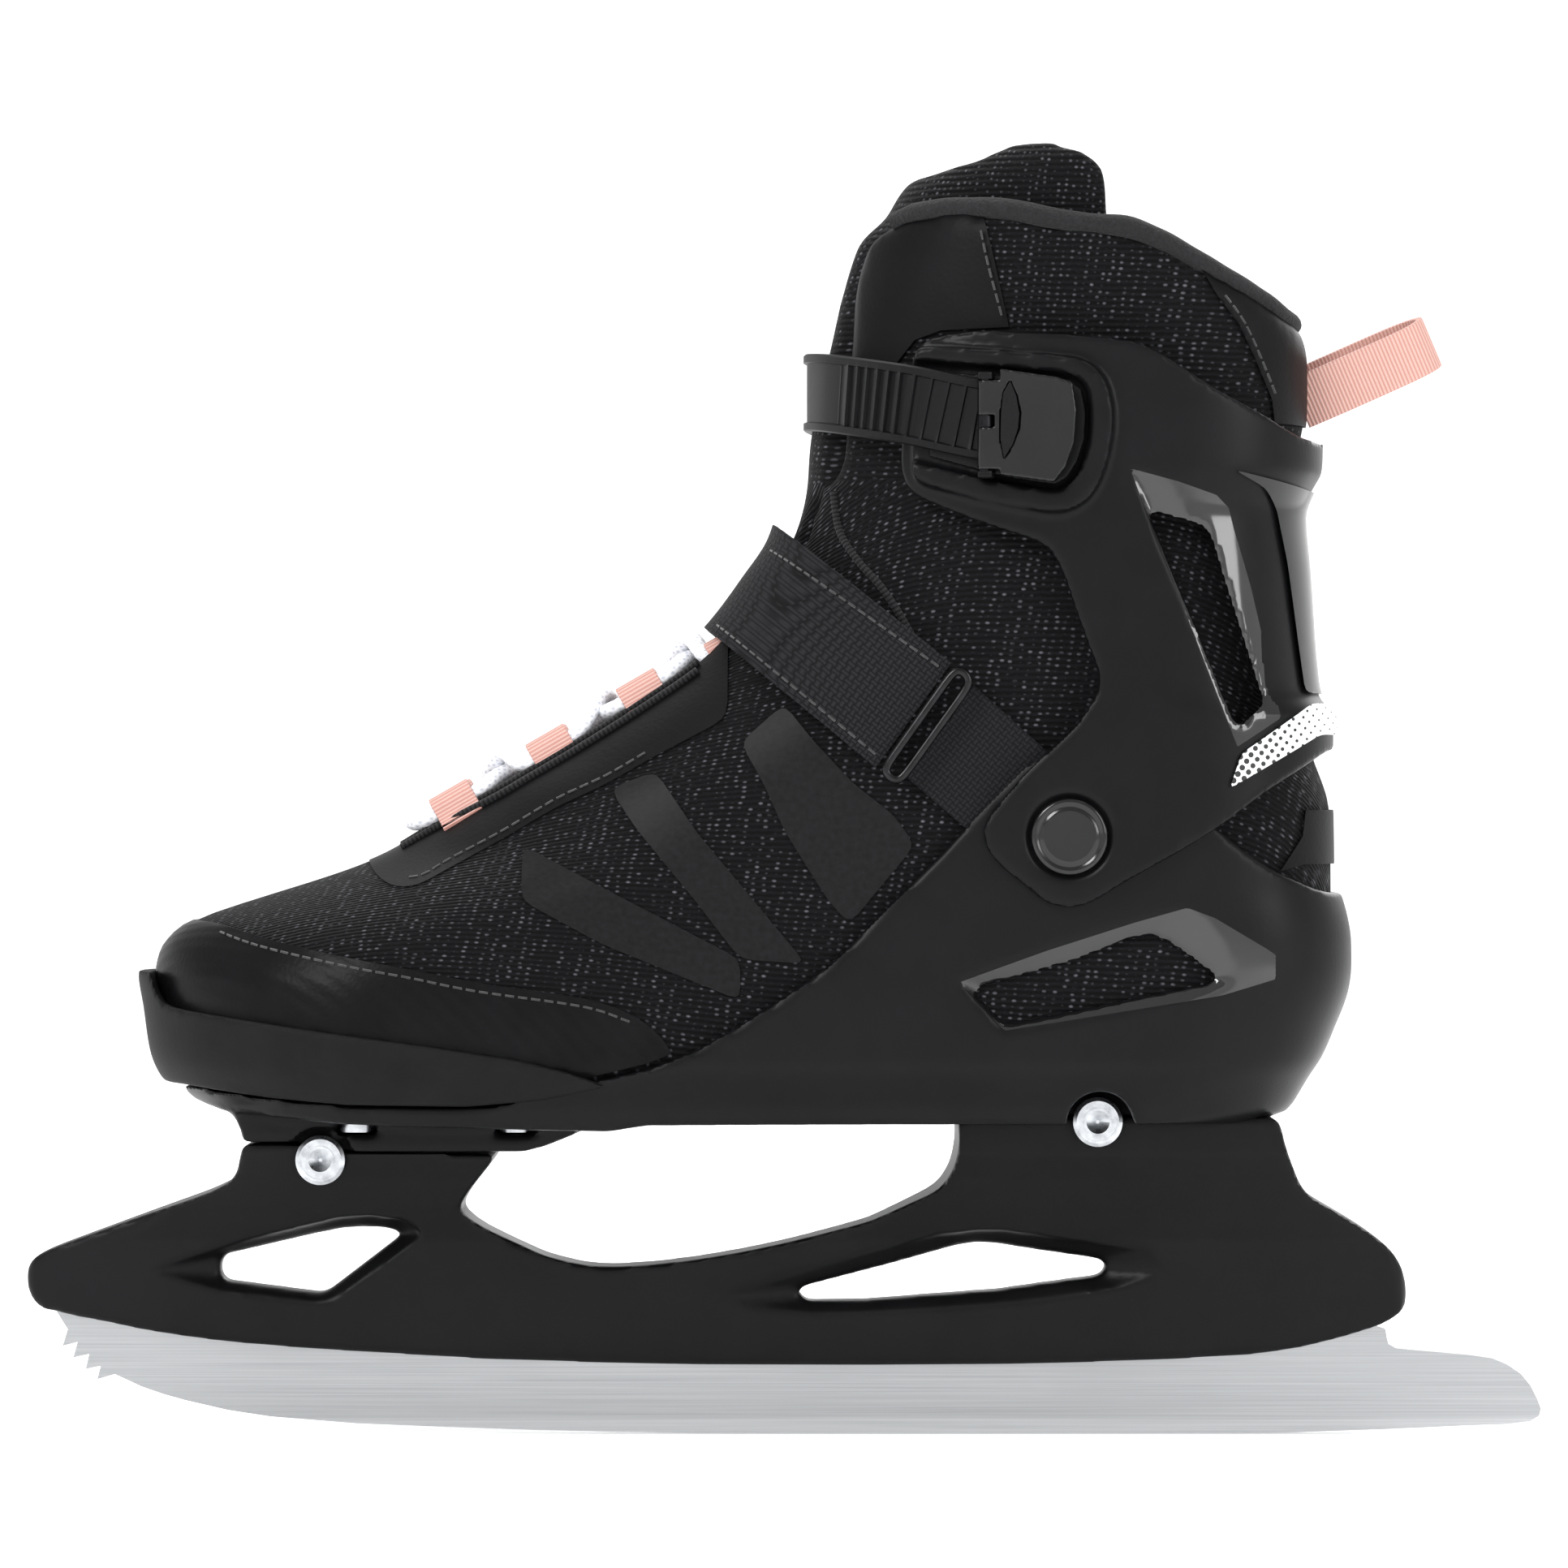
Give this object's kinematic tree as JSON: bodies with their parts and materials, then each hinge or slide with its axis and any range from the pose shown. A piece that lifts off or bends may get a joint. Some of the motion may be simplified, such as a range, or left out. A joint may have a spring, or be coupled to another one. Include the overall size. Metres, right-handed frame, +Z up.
{
  "type": "ice skate",
  "caption": "Soft-boot ice skate for the left foot: tilting cuff with ratchet buckle, instep strap, laces and a steel blade in a bolted plastic holder.",
  "frame": {"origin": "middle of the skate's length and width, on the ice under the blade", "axes": "+X from toe to heel, +Y to the inner side of the foot (buckle side is -Y), +Z up"},
  "size_m": [0.3539, 0.1043, 0.3004],
  "materials": {
    "blade_steel": "brushed along its length",
    "holder_plastic": "fine eroded grain",
    "shell_plastic": "fine eroded grain",
    "cuff_plastic": "fine eroded grain",
    "zinc_steel": "bright zinc",
    "fastener_steel": "zinc plated",
    "bumper_rubber": "matte",
    "board_plastic": "plain",
    "footbed_foam": "plain knit over foam",
    "knit_mesh": "padded knitted mesh",
    "coated_film": "semi-gloss coated film",
    "synthetic_leather": "matte synthetic leather",
    "binding_felt": "soft felt roll",
    "lace_white": "braided",
    "loop_pink": "ribbed webbing",
    "webbing": "woven nylon",
    "ring_wire": "gloss",
    "gloss_trim": "gloss",
    "band_white": "printed gloss",
    "bushing_plastic": "plain",
    "ladder_plastic": "matte moulded"
  },
  "bodies": {
    "boot": {"blade": "blade_steel", "blade_holder": "holder_plastic", "cross_bolts": "zinc_steel", "cross_bolt_nuts": "zinc_steel", "sole_screws": "fastener_steel", "shell": "shell_plastic", "toe_bumper": "bumper_rubber", "lasting_board": "board_plastic", "footbed": "footbed_foam", "upper": "knit_mesh", "toe_overlay": "coated_film", "eyestay": "coated_film", "heel_patch": "synthetic_leather", "tongue_lower": "knit_mesh", "lace": "lace_white", "lace_loops": "loop_pink", "instep_strap": "webbing", "instep_ring": "ring_wire", "ring_anchor": "webbing", "anchor_rivets": "fastener_steel", "pivot_bolts": "fastener_steel", "pivot_nuts": "fastener_steel"},
    "cuff_body": {"pivot_bushings": "bushing_plastic", "pivot_caps": "gloss_trim", "cuff": "cuff_plastic", "spine_insert": "gloss_trim", "heel_band": "band_white", "collar": "knit_mesh", "collar_binding": "binding_felt", "collar_front_panels": "synthetic_leather", "collar_rear_panel": "synthetic_leather", "tongue_upper": "knit_mesh", "pull_loop": "loop_pink", "buckle_base": "gloss_trim", "anchor_plate": "gloss_trim", "buckle_rivets": "fastener_steel", "ladder_strap": "ladder_plastic", "strap_screw": "fastener_steel", "strap_nut": "fastener_steel", "lever_pin": "fastener_steel"},
    "lever_body": {"lever": "gloss_trim", "lever_spring": "fastener_steel", "pawl_pin": "fastener_steel"},
    "release_body": {"release_pad": "gloss_trim"},
    "pawl_body": {"pawl": "fastener_steel"}
  },
  "joints": [
    {"name": "cuff_flex", "type": "hinge", "parent": "boot", "child": "cuff_body", "pos_m": [0.065, 0, 0.14], "axis": [0, -1, 0], "range_deg": [-4, 9], "stiffness_Nm_per_rad": 12},
    {"name": "buckle_lever", "type": "hinge", "parent": "cuff_body", "child": "lever_body", "pos_m": [0.04571, -0.04855, 0.2335], "axis": [0, 0, -1], "range_deg": [0, 70], "stiffness_Nm_per_rad": 0.05},
    {"name": "release_press", "type": "slide", "parent": "lever_body", "child": "release_body", "axis": [0.1045, 0.9945, 0], "range_m": [0, 0.0008], "stiffness_N_per_m": 300},
    {"name": "pawl_lift", "type": "hinge", "parent": "lever_body", "child": "pawl_body", "pos_m": [0.06247, -0.04981, 0.2345], "axis": [0, 0, 1], "range_deg": [0, 8.2], "stiffness_Nm_per_rad": 0.01}
  ],
  "couplings": [
    {"joint": "pawl_lift", "follows": "release_press", "rad_per_m": 174.5}
  ]
}
